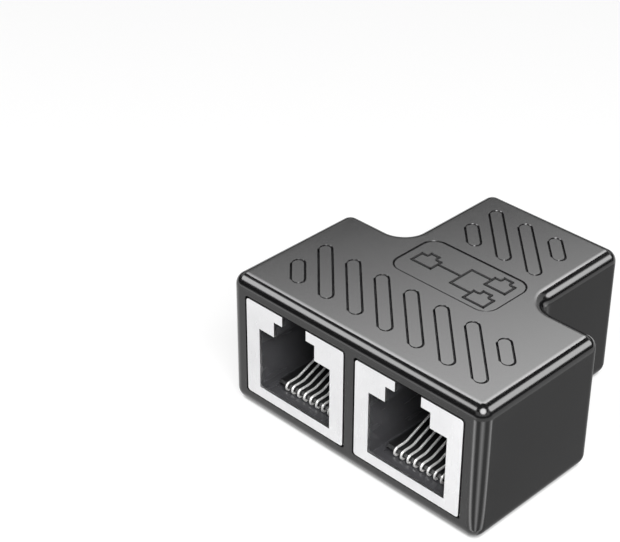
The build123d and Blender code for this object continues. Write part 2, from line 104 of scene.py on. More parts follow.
class ShaderTree:
    """Node tree of a material or a world, with short ways to add and join its nodes."""

    def __init__(self, name: str, is_world: bool = False) -> None:
        """Start a tree that holds only its output.

        Args:
            name: Name of the material or world.
            is_world: Whether it is a world.
        """
        self.owner = (bpy.data.worlds if is_world else bpy.data.materials).new(name)
        self.owner.use_nodes = True
        self.nodes = self.owner.node_tree.nodes
        self.nodes.clear()
        self.output = self.add("OutputWorld" if is_world else "OutputMaterial")

    def add(self, kind: str, **settings: object) -> bpy.types.Node:
        """Add a node and set its own settings.

        Args:
            kind: Short kind of the node, without its ShaderNode prefix.
            **settings: Attributes of the node, such as its operation.

        Returns:
            The new node.
        """
        node = self.nodes.new("ShaderNode" + kind)
        for key, value in settings.items():
            setattr(node, key, value)
        return node

    def link(self, start: bpy.types.NodeSocket, end: bpy.types.NodeSocket) -> None:
        """Join an output socket to an input socket."""
        self.owner.node_tree.links.new(start, end)

    def feed(self, end: bpy.types.NodeSocket, value: bpy.types.NodeSocket | float) -> None:
        """Give an input a value.

        Args:
            end: The input socket.
            value: Socket to join it to, or the number that it holds.
        """
        if isinstance(value, bpy.types.NodeSocket):
            self.link(value, end)
        else:
            end.default_value = value

    def object_place(self, scale: tuple[float, float, float] = (1, 1, 1)) -> bpy.types.NodeSocket:
        """Object coordinates, stretched for a grain.

        Args:
            scale: Stretch along each axis.

        Returns:
            Socket that carries the place.
        """
        place = self.add("TexCoord")
        mapping = self.add("Mapping")
        mapping.inputs["Scale"].default_value = scale
        self.link(place.outputs["Object"], mapping.inputs["Vector"])
        return mapping.outputs["Vector"]

    def noise(self, place: bpy.types.NodeSocket, size: float, detail: float = 2.0) -> bpy.types.NodeSocket:
        """Noise whose lumps are about a given size.

        Args:
            place: Socket with the place.
            size: Size of a lump in metres.
            detail: Levels of finer noise.

        Returns:
            Socket that carries the noise, from 0 to 1.
        """
        noise = self.add("TexNoise")
        noise.inputs["Scale"].default_value = 1 / size
        noise.inputs["Detail"].default_value = detail
        self.link(place, noise.inputs["Vector"])
        return noise.outputs["Fac"]

    def spread(self, value: bpy.types.NodeSocket, low: float, high: float,
               start: float = 0.0, end: float = 1.0) -> bpy.types.NodeSocket:
        """Map a value to a range, held at its ends.

        Args:
            value: Socket with the value.
            low: Result at the start.
            high: Result at the end.
            start: Value where the range starts.
            end: Value where the range ends.

        Returns:
            Socket that carries the mapped value.
        """
        spread = self.add("MapRange")
        for key, number in zip(("From Min", "From Max", "To Min", "To Max"), (start, end, low, high)):
            spread.inputs[key].default_value = number
        self.link(value, spread.inputs["Value"])
        return spread.outputs["Result"]

    def multiply(self, first: bpy.types.NodeSocket,
                 second: bpy.types.NodeSocket | float) -> bpy.types.NodeSocket:
        """Multiply two values, with the result held between 0 and 1.

        Args:
            first: Socket with the first value.
            second: Socket with the second value, or a number.

        Returns:
            Socket that carries the result.
        """
        node = self.add("Math", operation="MULTIPLY", use_clamp=True)
        self.link(first, node.inputs[0])
        self.feed(node.inputs[1], second)
        return node.outputs["Value"]

    def blend_colours(self, factor: bpy.types.NodeSocket, first: tuple[float, float, float],
                      second: tuple[float, float, float]) -> bpy.types.NodeSocket:
        """Blend two colours by a factor.

        Args:
            factor: Socket with the share of the second colour.
            first: Colour at 0.
            second: Colour at 1.

        Returns:
            Socket that carries the colour.
        """
        ramp = self.add("ValToRGB")
        ramp.color_ramp.elements[0].color = (*first, 1)
        ramp.color_ramp.elements[1].color = (*second, 1)
        self.link(factor, ramp.inputs["Fac"])
        return ramp.outputs["Color"]

    def bump(self, height: bpy.types.NodeSocket, distance: float, strength: float) -> bpy.types.NodeSocket:
        """Bump from a height.

        Args:
            height: Socket with the height, from 0 to 1.
            distance: Height of the bump in metres.
            strength: Share of the bump that shows.

        Returns:
            Socket that carries the bent normal.
        """
        bump = self.add("Bump")
        bump.inputs["Distance"].default_value = distance
        bump.inputs["Strength"].default_value = strength
        self.link(height, bump.inputs["Height"])
        return bump.outputs["Normal"]

    def seen_share(self) -> bpy.types.NodeSocket:
        """Share of a ray that is seen, mirrored or passed through, against one that only lights.

        Returns:
            Socket that is 1 for a ray that shows what it meets.
        """
        path = self.add("LightPath")
        share = path.outputs["Is Camera Ray"]
        for ray in ("Is Glossy Ray", "Is Transmission Ray"):
            more = self.add("Math", operation="MAXIMUM")
            self.link(share, more.inputs[0])
            self.link(path.outputs[ray], more.inputs[1])
            share = more.outputs["Value"]
        return share

    def glow(self, level: bpy.types.NodeSocket | float) -> bpy.types.Node:
        """Add a white glow.

        Args:
            level: How bright it is, where 1 is white: a socket or a number.

        Returns:
            The glow.
        """
        glow = self.add("Emission")
        glow.inputs["Color"].default_value = (1, 1, 1, 1)
        self.feed(glow.inputs["Strength"], level)
        return glow

    def surface(self, values: dict[str, bpy.types.NodeSocket | float]) -> bpy.types.Material:
        """Finish the material with a principled surface.

        Args:
            values: Sockets or numbers for its inputs, by their names.

        Returns:
            The finished material.
        """
        shader = self.add("BsdfPrincipled")
        for name, value in values.items():
            self.feed(shader.inputs[name], value)
        return self.finish(shader)

    def finish(self, shader: bpy.types.Node) -> bpy.types.Material | bpy.types.World:
        """Join a shader to the output.

        Args:
            shader: Node whose first output is the surface.

        Returns:
            The finished material or world.
        """
        self.link(shader.outputs[0], self.output.inputs["Surface"])
        return self.owner


@dataclass(frozen=True)
class CaseFinish:
    """Black moulded plastic: fine satin speckle on the top face, gloss elsewhere."""

    top_height: float
    colour: tuple[float, float, float] = (0.006, 0.006, 0.0063)
    worn_colour: tuple[float, float, float] = (0.009, 0.009, 0.0093)
    gloss_roughness: tuple[float, float] = (0.12, 0.18)
    satin_roughness: tuple[float, float] = (0.14, 0.20)
    specular: float = 0.5
    speckle_size: float = 0.22 * MM
    speckle_band: tuple[float, float] = (0.3, 0.7)
    speckle_height: float = 0.003 * MM
    speckle_strength: float = 0.6
    flow_size: float = 6.0 * MM
    mask_depth: float = 0.4 * MM
    mask_tilt: tuple[float, float] = (0.97, 0.995)

    def build(self) -> bpy.types.Material:
        """Make the material.

        Returns:
            The case plastic.
        """
        tree = ShaderTree("moulded_case_plastic")
        place = tree.object_place()
        speckle = tree.noise(place, self.speckle_size, detail=3)
        flow = tree.noise(place, self.flow_size)
        top = self.top_mask(tree)
        satin = tree.spread(speckle, *self.satin_roughness, *self.speckle_band)
        gloss = tree.spread(flow, *self.gloss_roughness)
        rough = tree.add("Mix", data_type="FLOAT")
        for name, value in (("Factor", top), ("A", gloss), ("B", satin)):
            tree.link(value, rough.inputs[name])
        height = tree.multiply(speckle, top)
        return tree.surface({
            "Base Color": tree.blend_colours(flow, self.colour, self.worn_colour),
            "Roughness": rough.outputs["Result"],
            "Specular IOR Level": self.specular,
            "Normal": tree.bump(height, self.speckle_height, self.speckle_strength)})

    def top_mask(self, tree: ShaderTree) -> bpy.types.NodeSocket:
        """Mask that is 1 on the flat of the top face and 0 on its rounded rim and below.

        Args:
            tree: Tree that the mask is added to.

        Returns:
            Socket that carries the mask.
        """
        place = tree.add("TexCoord")
        point = tree.add("SeparateXYZ")
        facing = tree.add("SeparateXYZ")
        tree.link(place.outputs["Object"], point.inputs["Vector"])
        tree.link(place.outputs["Normal"], facing.inputs["Vector"])
        high = tree.spread(point.outputs["Z"], 0, 1, self.top_height - 2 * self.mask_depth,
                           self.top_height - self.mask_depth)
        flat = tree.spread(facing.outputs["Z"], 0, 1, *self.mask_tilt)
        return tree.multiply(high, flat)


@dataclass(frozen=True)
class MarkedFinish:
    """Finish with one pattern of fine marks, which shifts its colour and its roughness."""

    name: str
    colour: tuple[float, float, float]
    marked_colour: tuple[float, float, float]
    roughness: tuple[float, float]
    mark_size: float
    mark_stretch: tuple[float, float, float] = (1.0, 1.0, 1.0)
    mark_detail: float = 2.0
    mark_height: float = 0.0
    mark_strength: float = 0.5
    metallic: float = 0.0
    specular: float = 0.5

    def build(self) -> bpy.types.Material:
        """Make the material.

        Returns:
            The finished material, with a bump where its marks have a height.
        """
        tree = ShaderTree(self.name)
        marks = tree.noise(tree.object_place(self.mark_stretch), self.mark_size, self.mark_detail)
        values = {"Base Color": tree.blend_colours(marks, self.colour, self.marked_colour),
                  "Roughness": tree.spread(marks, *self.roughness),
                  "Metallic": self.metallic,
                  "Specular IOR Level": self.specular}
        if self.mark_height:
            values["Normal"] = tree.bump(marks, self.mark_height, self.mark_strength)
        return tree.surface(values)


MATT_SIGN = MarkedFinish(
    "matt_sign_plastic", colour=(0.003, 0.003, 0.0032), marked_colour=(0.007, 0.007, 0.0073),
    roughness=(0.50, 0.60), mark_size=0.05 * MM, mark_height=0.004 * MM, specular=0.12)
# Socket body: dark grey plastic whose colour is lightened to stand in for light reaching inside the socket
# mouth, a painted light.
LIGHTENED_SOCKET_PLASTIC = MarkedFinish(
    "socket_plastic", colour=(0.055, 0.055, 0.059), marked_colour=(0.075, 0.075, 0.080),
    roughness=(0.18, 0.34), mark_size=1.6 * MM, mark_stretch=(1.0, 0.2, 1.0), mark_detail=3.0)
CARRIER_PLASTIC = MarkedFinish(
    "carrier_plastic", colour=(0.005, 0.005, 0.0055), marked_colour=(0.009, 0.009, 0.0095),
    roughness=(0.36, 0.52), mark_size=1.6 * MM, mark_stretch=(1.0, 0.2, 1.0), mark_detail=3.0)
CONTACT_WIRE = MarkedFinish(
    "plated_contact_wire", colour=(0.97, 0.965, 0.955), marked_colour=(0.88, 0.875, 0.865),
    roughness=(0.26, 0.38), mark_size=0.12 * MM, mark_stretch=(1.0, 0.15, 1.0), metallic=0.25)


@dataclass(frozen=True)
class NickelFinish:
    """Nickel-plated sheet with a fine drawn grain."""

    colour: tuple[float, float, float] = (0.80, 0.80, 0.805)
    dull_colour: tuple[float, float, float] = (0.70, 0.70, 0.71)
    roughness: tuple[float, float] = (0.23, 0.36)
    grain_stretch: tuple[float, float, float] = (1.0, 1.0, 0.06)
    grain_size: float = 0.09 * MM
    grain_height: float = 0.002 * MM
    grain_strength: float = 0.5
    cloud_size: float = 3.5 * MM

    def build(self) -> bpy.types.Material:
        """Make the material.

        Returns:
            The nickel plate.
        """
        tree = ShaderTree("nickel_plate")
        grain = tree.noise(tree.object_place(self.grain_stretch), self.grain_size)
        cloud = tree.noise(tree.object_place(), self.cloud_size)
        return tree.surface({
            "Base Color": tree.blend_colours(cloud, self.dull_colour, self.colour),
            "Metallic": 1.0,
            "Roughness": tree.spread(grain, *self.roughness),
            "Normal": tree.bump(grain, self.grain_height, self.grain_strength)})


@dataclass(frozen=True)
class BoardFinish:
    """Green solder mask over woven laminate."""

    colour: tuple[float, float, float] = (0.010, 0.085, 0.038)
    weave_colour: tuple[float, float, float] = (0.018, 0.13, 0.06)
    weave_size: float = 0.5 * MM
    weave_wander: float = 0.6
    weave_height: float = 0.01 * MM
    weave_strength: float = 0.4
    roughness: float = 0.32

    def build(self) -> bpy.types.Material:
        """Make the material.

        Returns:
            The board laminate.
        """
        tree = ShaderTree("board_laminate")
        weave = tree.add("TexWave", wave_type="BANDS", bands_direction="DIAGONAL")
        weave.inputs["Scale"].default_value = 1 / self.weave_size
        weave.inputs["Distortion"].default_value = self.weave_wander
        tree.link(tree.object_place(), weave.inputs["Vector"])
        return tree.surface({
            "Base Color": tree.blend_colours(weave.outputs["Fac"], self.colour, self.weave_colour),
            "Roughness": self.roughness,
            "Normal": tree.bump(weave.outputs["Fac"], self.weave_height, self.weave_strength)})


def pull_edges(work: bmesh.types.BMesh, edges: list[bmesh.types.BMEdge],
               path: Vector) -> list[bmesh.types.BMEdge]:
    """Pull edges straight on.

    Args:
        work: Mesh that they belong to.
        edges: Edges to pull.
        path: Way that they move.

    Returns:
        The edges at the new end.
    """
    made = bmesh.ops.extrude_edge_only(work, edges=edges)["geom"]
    verts = {item for item in made if isinstance(item, bmesh.types.BMVert)}
    bmesh.ops.translate(work, vec=path, verts=list(verts))
    return [item for item in made if isinstance(item, bmesh.types.BMEdge) and verts.issuperset(item.verts)]


def link_mesh(work: bmesh.types.BMesh, name: str, material: bpy.types.Material) -> bpy.types.Object:
    """Turn a finished mesh into an object of the scene.

    Args:
        work: The mesh.
        name: Name of the object.
        material: Its material.

    Returns:
        The object.
    """
    mesh = bpy.data.meshes.new(name)
    work.to_mesh(mesh)
    work.free()
    mesh.materials.append(material)
    made = bpy.data.objects.new(name, mesh)
    bpy.context.scene.collection.objects.link(made)
    return made


def make_piece(work: bmesh.types.BMesh, name: str, finish: bpy.types.Material,
               sharp_angle: float) -> bpy.types.Object:
    """Turn a finished mesh into a smooth piece of the part.

    Args:
        work: The mesh, in the part's own frame.
        name: Name of the piece.
        finish: Its material.
        sharp_angle: Angle past which an edge stays sharp.

    Returns:
        The piece.
    """
    piece = link_mesh(work, name, finish)
    faces = piece.data.polygons
    faces.foreach_set("use_smooth", [True] * len(faces))
    piece.data.set_sharp_from_angle(angle=sharp_angle)
    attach(piece, BODY)
    LOG.info("%s: %d faces", name, len(faces))
    return piece


@dataclass
class SoftenedCopy:
    """A CAD node's mesh merged, its chosen sharp edges eased, and shaded smooth between the rest."""

    node: str
    piece: str
    finish: bpy.types.Material
    slot: Slot
    ease: float = 0.05 * MM
    ease_steps: int = 2
    eased_box: tuple[Vector, Vector] | None = None
    merge_distance: float = 0.002 * MM
    flat_angle: float = math.radians(0.6)
    sharp_angle: float = math.radians(28)

    def merged(self) -> bmesh.types.BMesh:
        """Copy the CAD node's mesh with its loose triangles merged to whole faces.

        Returns:
            The merged mesh.
        """
        mesh_work = bmesh.new()
        mesh_work.from_mesh(bpy.data.objects[self.node].data)
        bmesh.ops.remove_doubles(mesh_work, verts=mesh_work.verts, dist=self.merge_distance)
        bmesh.ops.dissolve_limit(mesh_work, angle_limit=self.flat_angle, verts=mesh_work.verts,
                                 edges=mesh_work.edges)
        return mesh_work

    def build(self, mesh_work: bmesh.types.BMesh) -> None:
        """Make the piece from its merged mesh and hide the CAD node behind it.

        Args:
            mesh_work: The merged mesh, with whatever has been shaped on it.
        """
        chosen = [edge for edge in mesh_work.edges if self.is_eased(edge)]
        bmesh.ops.bevel(mesh_work, geom=chosen, offset=self.ease, offset_type="OFFSET",
                        segments=self.ease_steps, profile=0.5, affect="EDGES", clamp_overlap=True,
                        material=-1)
        piece = make_piece(mesh_work, self.piece, self.finish, self.sharp_angle)
        weights = piece.modifiers.new("flat_faces_stay_flat", "WEIGHTED_NORMAL")
        weights.keep_sharp = True
        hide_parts(self.node)

    def is_eased(self, edge: bmesh.types.BMEdge) -> bool:
        """Whether an edge is to be eased.

        Args:
            edge: Edge of the merged mesh.

        Returns:
            True if it is sharp and both its ends are in the box of eased edges.
        """
        if self.eased_box is None or len(edge.link_faces) != 2:
            return False
        if edge.calc_face_angle(0) <= self.sharp_angle:
            return False
        low, high = self.eased_box
        return all(low[axis] <= vert.co[axis] <= high[axis] for vert in edge.verts for axis in range(3))


@dataclass
class CaseShells:
    """Both halves of the moulded case."""

    finish: bpy.types.Material
    rim_ease: float = 0.08 * MM
    rim_steps: int = 3
    rim_depth: float = 0.20 * MM
    recess_depth: float = 0.30 * MM
    floor_facing: float = 0.99
    floor_slack: float = 0.02 * MM
    pad_gap: float = 0.01 * MM
    slot_pad_slope: float = 0.14 * MM
    slot_pad_rise: float = 0.28 * MM
    label_area: float = 60 * MM * MM
    label_pad_slope: float = 0.11 * MM
    label_pad_rise: float = 0.22 * MM
    slot_turn: float = math.radians(135)
    slot_grow: float = 0.13 * MM
    slot_shift: float = 0.11 * MM
    wall: float = 1.3 * MM
    window_near: float = 0.1 * MM
    window_reach: float = 0.3 * MM
    window_ease: float = 0.10 * MM

    def build(self) -> None:
        """Make both halves, with the rims of the slots and the label recess eased."""
        low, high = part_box("upper_shell")
        top_skin = (Vector((low.x, low.y, high.z - self.rim_depth)), high + MARGIN)
        upper = SoftenedCopy("upper_shell", "upper_case_half", self.finish, Slot.CASE, ease=self.rim_ease,
                             ease_steps=self.rim_steps, eased_box=top_skin)
        work = upper.merged()
        self.raise_pads(work, high.z - self.recess_depth)
        self.widen_windows(work)
        upper.build(work)
        lower = SoftenedCopy("lower_shell", "lower_case_half", self.finish, Slot.CASE)
        work = lower.merged()
        self.widen_windows(work)
        lower.build(work)

    def widen_windows(self, work: bmesh.types.BMesh) -> None:
        """Ease the windows away from the shields, so that a dark gap shows round each.

        Args:
            work: Merged mesh of one half.
        """
        for port in Port:
            low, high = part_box(f"jack_shield_{port.value}")
            middle = (low + high) / 2
            face = low.y if port.faces_front else high.y
            for vert in work.verts:
                if abs(vert.co.y - face) > self.wall + self.window_reach:
                    continue
                over = [abs(vert.co[axis] - middle[axis]) - (high[axis] - low[axis]) / 2 for axis in (0, 2)]
                if not self.window_near <= max(over) <= self.window_reach:
                    continue
                for axis, beyond in zip((0, 2), over):
                    if beyond > 0:
                        vert.co[axis] += math.copysign(self.window_ease, vert.co[axis] - middle[axis])

    def raise_pads(self, work: bmesh.types.BMesh, level: float) -> None:
        """Raise the floor of each slot and of the label recess to a pad with a groove round it.

        Args:
            work: Merged mesh of the upper half.
            level: Height of the floors.
        """
        floors = [face for face in work.faces if face.normal.z > self.floor_facing
                  and abs(face.calc_center_median().z - level) < self.floor_slack]
        for floor in floors:
            is_label = floor.calc_area() > self.label_area
            if not is_label:
                rim = {edge.other_vert(vert) for vert in floor.verts for edge in vert.link_edges}
                self.widen_slot(list(floor.verts))
                self.widen_slot(list(rim - set(floor.verts)))
            rise = self.label_pad_rise if is_label else self.slot_pad_rise
            slope = self.label_pad_slope if is_label else self.slot_pad_slope
            bmesh.ops.inset_region(work, faces=[floor], thickness=self.pad_gap, use_even_offset=True)
            bmesh.ops.inset_region(work, faces=[floor], thickness=slope, depth=rise, use_even_offset=True)
        LOG.info("%d pads raised in the recesses", len(floors))

    def widen_slot(self, loop: list[bmesh.types.BMVert]) -> None:
        """Widen one round-ended outline of a slot, a little more to one side, and keep its length.

        Args:
            loop: Points of the outline.
        """
        turn = Matrix.Rotation(-self.slot_turn, 3, "Z")
        spots = [turn @ vert.co for vert in loop]
        ends = [(min(spot[axis] for spot in spots), max(spot[axis] for spot in spots)) for axis in (0, 1)]
        radius = (ends[1][1] - ends[1][0]) / 2
        straight = (ends[0][1] - ends[0][0]) / 2 - radius
        middle = Vector((sum(ends[0]) / 2, sum(ends[1]) / 2, 0))
        share = 1 + self.slot_grow / radius
        for vert, spot in zip(loop, spots):
            along, across, height = spot - middle
            reach = max(abs(along) - straight, 0) * share + min(abs(along), straight) - self.slot_grow
            moved = Vector((math.copysign(reach, along), across * share + self.slot_shift, height))
            vert.co = turn.transposed() @ (moved + middle)


@dataclass
class LabelSign:
    """Sign moulded in the label recess: one socket mouth whose lead forks to two more."""

    finish: bpy.types.Material
    floor: Vector = field(init=False)
    setback: float = 18.8 * MM
    pad_depth: float = 0.08 * MM
    rib_height: float = 0.078 * MM
    rib_width: float = 0.28 * MM
    rib_ease: float = 0.03 * MM
    sunk: float = 0.02 * MM
    mouth_size: tuple[float, float] = (3.3 * MM, 2.2 * MM)
    step_size: tuple[float, float] = (1.5 * MM, 0.7 * MM)
    source: tuple[float, float] = (-4.9 * MM, 0.0)
    target: tuple[float, float] = (4.9 * MM, 1.95 * MM)
    fork: float = 0.3 * MM
    corner_radius: float = 0.1 * MM
    column_split: float = 0.3
    step_share: float = 0.4
    flat_angle: float = 0.01
    slack: float = 0.01 * MM
    top_share: float = 0.9
    top_edge_angle: float = 1.0
    sharp_angle: float = math.radians(50)

    def build(self) -> None:
        """Make the mouths and the forked lead between them."""
        low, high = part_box("upper_shell")
        self.floor = Vector((0, low.y + self.setback, high.z - self.pad_depth - self.sunk))
        for name, place in (("source", self.source), ("upper", self.target),
                            ("lower", (self.target[0], -self.target[1]))):
            self.raise_rib(self.draw_mouth(place), f"label_mouth_{name}")
        self.raise_rib(self.draw_lead(), "label_lead")

    def draw_mouth(self, place: tuple[float, float]) -> bmesh.types.BMesh:
        """Draw the flat outline of one socket mouth with its latch step.

        Args:
            place: Middle of the mouth in the label.

        Returns:
            The flat mesh.
        """
        flat = bmesh.new()
        bmesh.ops.create_grid(flat, x_segments=3, y_segments=1, size=0.5)
        for vert in flat.verts:
            side = math.copysign(1, vert.co.x)
            reach = self.mouth_size[0] if abs(vert.co.x) > self.column_split else self.step_size[0]
            vert.co = Vector((side * reach / 2, vert.co.y * self.mouth_size[1], 0))
        step = [edge for edge in flat.edges if all(
            vert.co.y > 0 and abs(vert.co.x) < self.mouth_size[0] * self.step_share for vert in edge.verts)]
        pull_edges(flat, step, Vector((0, self.step_size[1], 0)))
        bmesh.ops.dissolve_limit(flat, angle_limit=self.flat_angle, verts=flat.verts, edges=flat.edges)
        bmesh.ops.bevel(flat, geom=flat.verts[:], offset=self.corner_radius, segments=3, profile=0.5,
                        affect="VERTICES", material=-1)
        made = bmesh.ops.inset_region(flat, faces=flat.faces, thickness=self.rib_width, use_even_offset=True,
                                      use_boundary=True)
        inner = [face for face in flat.faces if face not in made["faces"]]
        bmesh.ops.delete(flat, geom=inner, context="FACES")
        shift = Vector((place[0], place[1] - self.step_size[1] / 2, 0))
        bmesh.ops.translate(flat, vec=shift, verts=flat.verts)
        return flat

    def draw_lead(self) -> bmesh.types.BMesh:
        """Draw the flat lead from the source mouth to both others.

        Returns:
            The flat mesh.
        """
        flat = bmesh.new()
        half = self.rib_width / 2
        start = self.source[0] + self.mouth_size[0] / 2 - half
        stop = self.target[0] - self.mouth_size[0] / 2 + half
        tail = flat.edges.new([flat.verts.new((start, side * half, 0)) for side in (-1, 1)])
        trunk = pull_edges(flat, [tail], Vector((self.fork - half - start, 0, 0)))
        pull_edges(flat, trunk, Vector((self.rib_width, 0, 0)))
        for side in (-1, 1):
            arm = [edge for edge in flat.edges if all(
                abs(vert.co.y - side * half) < self.slack and vert.co.x > self.fork - self.rib_width
                for vert in edge.verts)]
            arm = pull_edges(flat, arm, Vector((0, side * (self.target[1] - self.rib_width), 0)))
            pull_edges(flat, arm, Vector((0, side * self.rib_width, 0)))
            bend = [edge for edge in flat.edges if all(
                vert.co.x > self.fork and vert.co.y * side > self.target[1] - self.rib_width
                for vert in edge.verts)]
            pull_edges(flat, bend, Vector((stop - self.fork - half, 0, 0)))
        return flat

    def raise_rib(self, flat: bmesh.types.BMesh, name: str) -> None:
        """Raise a flat outline into a rib with eased top edges.

        Args:
            flat: The flat outline.
            name: Name of the piece.
        """
        made = bmesh.ops.extrude_face_region(flat, geom=flat.faces[:])["geom"]
        raised = [item for item in made if isinstance(item, bmesh.types.BMVert)]
        bmesh.ops.translate(flat, vec=Vector((0, 0, self.rib_height + self.sunk)), verts=raised)
        bmesh.ops.recalc_face_normals(flat, faces=flat.faces)
        top = [edge for edge in flat.edges if edge.calc_face_angle(0) > self.top_edge_angle
               and all(vert.co.z > self.rib_height * self.top_share for vert in edge.verts)]
        bmesh.ops.bevel(flat, geom=top, offset=self.rib_ease, segments=2, profile=0.5, affect="EDGES",
                        clamp_overlap=True, material=-1)
        bmesh.ops.translate(flat, vec=self.floor, verts=flat.verts)
        make_piece(flat, name, self.finish, self.sharp_angle)


def socket_frame(port: Port) -> Matrix:
    """Frame of one socket: x across, y into the case, z up from the foot of its moulded body.

    Args:
        port: The socket.

    Returns:
        Its place and turn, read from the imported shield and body.
    """
    low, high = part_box(f"jack_shield_{port.value}")
    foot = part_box(f"jack_body_{port.value}")[0].z
    front = low.y if port.faces_front else high.y
    turn = 0.0 if port.faces_front else math.pi
    return Matrix.Translation(Vector(((low.x + high.x) / 2, front, foot))) @ Matrix.Rotation(turn, 4, "Z")


@dataclass
class ContactWires:
    """The eight sprung wires of a socket, each bent from one round wire."""

    port: Port
    finish: bpy.types.Material
    count: int = 8
    pitch: float = 1.02 * MM
    radius: float = 0.15 * MM
    sides: int = 12
    pin_row: float = 11.3 * MM
    pin_row_step: float = 2.2 * MM
    pin_foot: float = -1.2 * MM
    lower_run: float = 0.84 * MM
    upper_run: float = 1.92 * MM
    front_bend: float = 2.2 * MM
    rise_start: float = 4.19 * MM
    rise_angle: float = math.radians(22.5)
    rise_radius: float = 2.0 * MM
    heel_radius: float = 0.45 * MM
    tip_depth: float = 11.25 * MM
    heel_steps: int = 6
    nose_steps: int = 12
    rise_steps: int = 4
    sharp_angle: float = math.radians(50)

    def build(self) -> None:
        """Make every wire of the socket as its own piece."""
        for number in range(self.count):
            across = (number - (self.count - 1) / 2) * self.pitch
            node = f"contact_{self.port.value}_{number + 1}"
            self.build_wire(node, across, self.pin_row + self.pin_row_step * (number % 2))

    def build_wire(self, node: str, across: float, pin: float) -> None:
        """Make one wire, from its solder pin to the tip of its rising arm.

        Args:
            node: CAD node that the wire stands for.
            across: Place across the socket.
            pin: Depth of its solder pin.
        """
        wire = bmesh.new()
        foot = Matrix.Translation(Vector((across, pin, self.pin_foot)))
        bmesh.ops.create_circle(wire, cap_ends=False, segments=self.sides, radius=self.radius, matrix=foot)
        ring = list(wire.edges)
        bend = (self.upper_run - self.lower_run) / 2
        heel = self.heel_radius
        ring = pull_edges(wire, ring, Vector((0, 0, self.lower_run - heel - self.pin_foot)))
        ring = self.turn(wire, ring, Vector((0, pin - heel, self.lower_run - heel)), math.pi / 2,
                         self.heel_steps)
        ring = pull_edges(wire, ring, Vector((0, self.front_bend + bend - pin + heel, 0)))
        ring = self.turn(wire, ring, Vector((0, self.front_bend + bend, self.lower_run + bend)), -math.pi,
                         self.nose_steps)
        flat_end = self.rise_start - self.rise_radius * math.tan(self.rise_angle / 2)
        ring = pull_edges(wire, ring, Vector((0, flat_end - self.front_bend - bend, 0)))
        hinge = Vector((0, flat_end, self.upper_run + self.rise_radius))
        ring = self.turn(wire, ring, hinge, self.rise_angle, self.rise_steps)
        reach = self.tip_depth - flat_end - self.rise_radius * math.sin(self.rise_angle)
        pull_edges(wire, ring, Vector((0, reach, reach * math.tan(self.rise_angle))))
        bmesh.ops.holes_fill(wire, edges=wire.edges, sides=self.sides)
        bmesh.ops.recalc_face_normals(wire, faces=wire.faces)
        bmesh.ops.transform(wire, matrix=socket_frame(self.port), verts=wire.verts)
        piece = make_piece(wire, f"wire_{node}", self.finish, self.sharp_angle)
        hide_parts(node)

    def turn(self, wire: bmesh.types.BMesh, ring: list[bmesh.types.BMEdge], centre: Vector, angle: float,
             steps: int) -> list[bmesh.types.BMEdge]:
        """Bend the wire round a line across the socket.

        Args:
            wire: Mesh of the wire.
            ring: Edges of its open end.
            centre: Point on the line that it bends round.
            angle: Angle of the bend.
            steps: Steps that the bend is made in.

        Returns:
            Edges of the new open end.
        """
        made = bmesh.ops.spin(wire, geom=ring, cent=centre, axis=Vector((1, 0, 0)), angle=angle, steps=steps,
                              use_merge=False, use_duplicate=False)
        return [item for item in made["geom_last"] if isinstance(item, bmesh.types.BMEdge)]


@dataclass
class SocketUnit:
    """Shield, moulded body, contact carrier and contacts of one socket."""

    port: Port
    shield_finish: bpy.types.Material
    lightened_plastic_finish: bpy.types.Material
    carrier_finish: bpy.types.Material
    contact_finish: bpy.types.Material
    plate_skin: float = 0.4 * MM
    plate_ease: float = 0.045 * MM

    def build(self) -> None:
        """Make and dress the pieces of the socket."""
        name = self.port.value
        low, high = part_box(f"jack_shield_{name}")
        start, end = low - MARGIN, high + MARGIN
        if self.port.faces_front:
            end.y = low.y + self.plate_skin
        else:
            start.y = high.y - self.plate_skin
        shield = SoftenedCopy(f"jack_shield_{name}", f"shield_can_{name}", self.shield_finish, Slot.SHIELD,
                              ease=self.plate_ease, eased_box=(start, end))
        shield.build(shield.merged())
        # The moulded body takes the lightened socket plastic, whose colour carries painted light inside the
        # socket.
        dress_node(f"jack_body_{name}", self.lightened_plastic_finish)
        dress_node(f"contact_carrier_{name}", self.carrier_finish)
        ContactWires(self.port, self.contact_finish).build()


def dress_node(node: str, finish: bpy.types.Material) -> None:
    """Give a carried-over CAD node its finish.

    Args:
        node: Name of the node.
        finish: Material for the whole of it.
    """
    mesh = bpy.data.objects[node].data
    mesh.materials.clear()
    mesh.materials.append(finish)
    LOG.info("%s: CAD mesh, %s", node, finish.name)


@dataclass(frozen=True)
class SoftBox:
    """A lamp or card that hangs round the object and faces it.

    Its bearing is in degrees round from the way that the right side faces, its height in degrees above
    the floor, its size, reach and turn in metres and radians, and at level 1 its face is white.
    """

    name: str
    bearing: float
    height: float
    size: tuple[float, float]
    level: float
    reach: float = 0.28
    turn: float = 0.0

    @property
    def place(self) -> Vector:
        """Its middle in the row frame."""
        turn, lift = math.radians(self.bearing), math.radians(self.height)
        way = Vector((math.cos(turn) * math.cos(lift), math.sin(turn) * math.cos(lift), math.sin(lift)))
        return way * self.reach + OBJECT_MIDDLE


